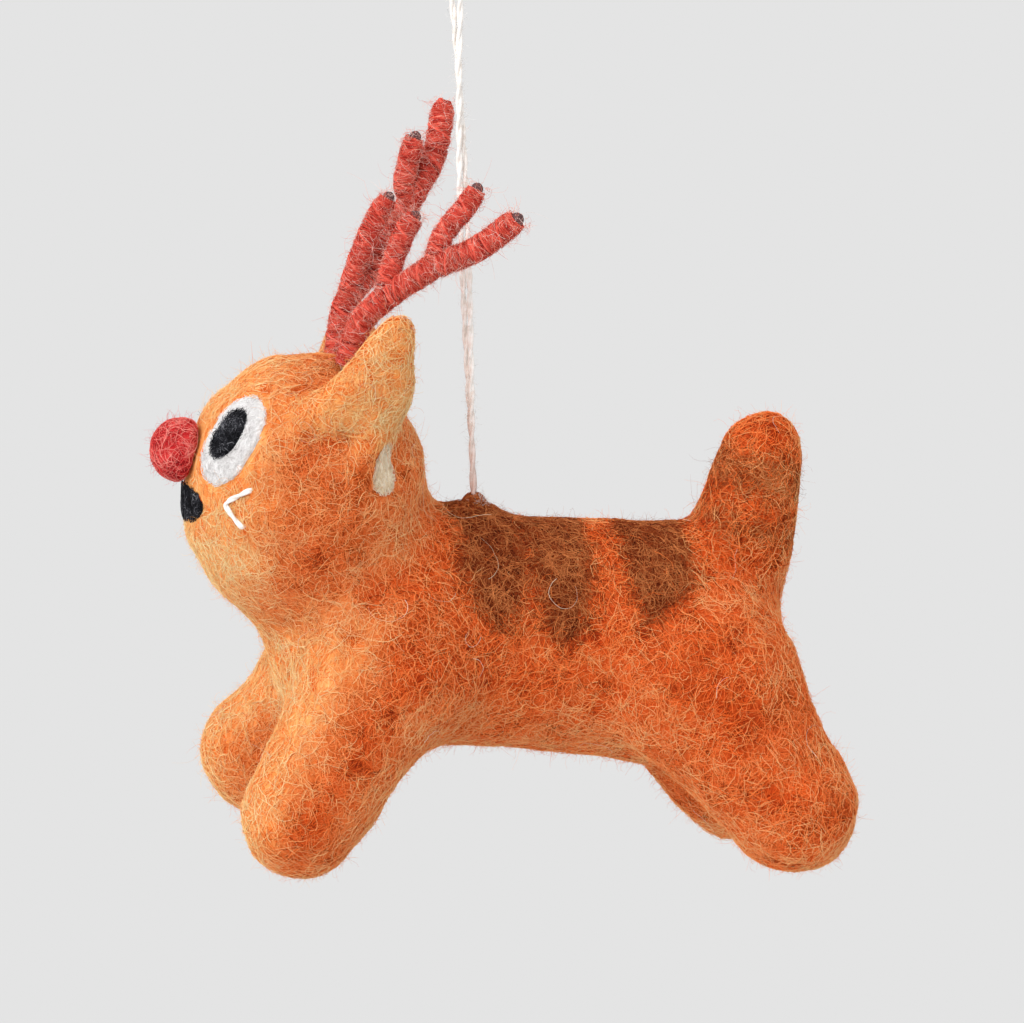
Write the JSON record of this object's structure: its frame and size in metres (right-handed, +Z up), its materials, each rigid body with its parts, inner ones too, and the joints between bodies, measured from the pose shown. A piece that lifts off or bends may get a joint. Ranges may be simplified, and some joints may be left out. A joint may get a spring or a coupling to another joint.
{
  "type": "felt christmas ornament",
  "caption": "Needle-felted orange tabby cat dressed as a reindeer, with a red ball nose and yarn-wound wire antlers, hung by a doubled yarn loop from its back.",
  "frame": {"origin": "inside the top of the hanging loop, where a branch or hook holds the ornament", "axes": "+Z up along the hanging cord, +X from the cat's nose to its tail, +Y to the cat's right"},
  "size_m": [0.1061, 0.0464, 0.1495],
  "materials": {
    "orange_felt": "needle-felted wool",
    "brown_felt": "needle-felted wool",
    "white_felt": "needle-felted wool",
    "black_felt": "needle-felted wool",
    "cream_felt": "needle-felted wool",
    "red_felt": "wool felt ball",
    "red_yarn": "fine wool yarn",
    "white_yarn": "wool yarn",
    "wire": "dark coated wire"
  },
  "bodies": {
    "cord": {"hanging_cord": "white_yarn"},
    "knot": {"hanging_knot": "white_yarn"},
    "cat": {"torso": "orange_felt", "head": "orange_felt", "left_front_leg": "orange_felt", "right_front_leg": "orange_felt", "left_hind_leg": "orange_felt", "right_hind_leg": "orange_felt", "tail": "orange_felt", "left_ear": "orange_felt", "right_ear": "orange_felt", "left_ear_lining": "cream_felt", "right_ear_lining": "cream_felt", "nose_ball": "red_felt", "mouth_patch": "black_felt", "left_eye_white": "white_felt", "right_eye_white": "white_felt", "left_pupil": "black_felt", "right_pupil": "black_felt", "left_whisker_stitch": "white_yarn", "right_whisker_stitch": "white_yarn", "front_back_stripe": "brown_felt", "middle_back_stripe": "brown_felt", "rear_back_stripe": "brown_felt", "upper_tail_band": "brown_felt", "lower_tail_band": "brown_felt", "left_antler_stub": "wire", "right_antler_stub": "wire"},
    "left_antler": {"left_antler_wire": "wire", "left_antler_lower_winding": "red_yarn", "left_antler_tip_winding": "red_yarn", "left_antler_front_tine_winding": "red_yarn", "left_antler_front_fork_binding": "red_yarn", "left_antler_middle_tine_winding": "red_yarn", "left_antler_middle_fork_binding": "red_yarn"},
    "right_antler": {"right_antler_wire": "wire", "right_antler_lower_winding": "red_yarn", "right_antler_middle_winding": "red_yarn", "right_antler_tip_winding": "red_yarn", "right_antler_front_tine_winding": "red_yarn", "right_antler_front_fork_binding": "red_yarn", "right_antler_middle_tine_winding": "red_yarn", "right_antler_middle_fork_binding": "red_yarn"}
  },
  "joints": [
    {"name": "twirl", "type": "hinge", "parent": "cord", "child": "knot", "pos_m": [0, 0, -0.09], "axis": [0, 0, 1], "continuous": true},
    {"name": "nod", "type": "hinge", "parent": "knot", "child": "cat", "pos_m": [0, 0, -0.09], "axis": [0, 1, 0], "range_deg": [-50, 25]},
    {"name": "left_antler_bend", "type": "hinge", "parent": "cat", "child": "left_antler", "pos_m": [-0.02003, -0.00576, -0.06671], "axis": [0, 1, 0], "range_deg": [-25, 8]},
    {"name": "right_antler_bend", "type": "hinge", "parent": "cat", "child": "right_antler", "pos_m": [-0.02003, 0.00576, -0.06671], "axis": [0, 1, 0], "range_deg": [-25, 8]}
  ]
}
